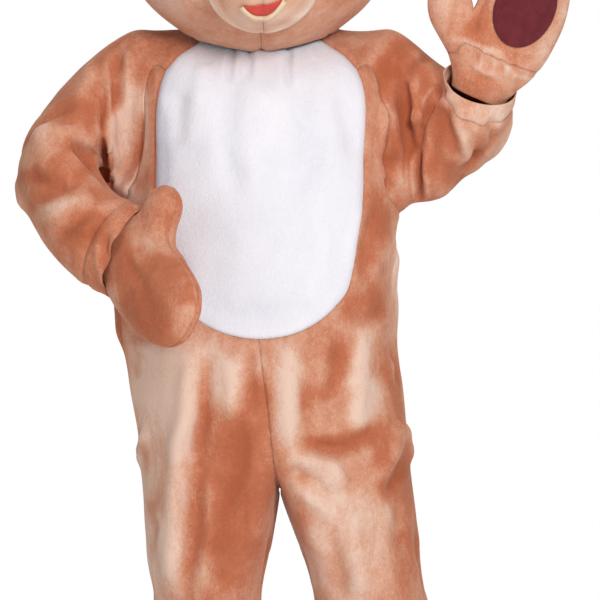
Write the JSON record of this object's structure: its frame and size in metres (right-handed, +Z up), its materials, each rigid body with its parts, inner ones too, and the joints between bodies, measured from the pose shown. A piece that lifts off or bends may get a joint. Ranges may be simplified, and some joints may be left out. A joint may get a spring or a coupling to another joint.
{
  "type": "bear mascot costume",
  "caption": "Plush bear costume: one-piece suit with a white belly, one arm raised to wave, separate ball head and two mittens.",
  "frame": {"origin": "middle of the shoulders at the neck, where the wearer carries the suit and the head", "axes": "+Z up, the front faces -Y, +X is the wearer's left, the side of the raised arm"},
  "size_m": [0.9284, 0.548, 1.8261],
  "materials": {
    "plush": "short rust-brown pile in soft light and dark patches",
    "muzzle_plush": "short pale tan pile",
    "belly_plush": "short white pile",
    "paw_pad": "fine woven maroon cloth",
    "mouth_felt": "matt red felt",
    "lip_felt": "matt cream felt",
    "nose_plastic": "black, softly shining",
    "eye_plastic": "black, shining"
  },
  "bodies": {
    "root": {"back_left": "plush", "back_placket": "plush", "back_right": "plush", "belly": "belly_plush", "ear_left": "plush", "ear_right": "plush", "eye_left": "eye_plastic", "eye_right": "eye_plastic", "front_left": "plush", "front_right": "plush", "head_back_left": "plush", "head_back_right": "plush", "head_face_left": "plush", "head_face_right": "plush", "inner_ear_left": "muzzle_plush", "inner_ear_right": "muzzle_plush", "leg_hem_left": "plush", "leg_hem_right": "plush", "lower_lip": "lip_felt", "mitt_left_back": "plush", "mitt_left_heel": "plush", "mitt_left_pad": "paw_pad", "mitt_left_palm": "plush", "mitt_right_back": "plush", "mitt_right_heel": "plush", "mitt_right_pad": "paw_pad", "mitt_right_palm": "plush", "mouth": "mouth_felt", "muzzle_left": "muzzle_plush", "muzzle_right": "muzzle_plush", "neck_band": "plush", "nose": "nose_plastic", "sleeve_hem_left": "plush", "sleeve_hem_right": "plush", "sleeve_left": "plush", "sleeve_right": "plush"}
  },
  "joints": []
}
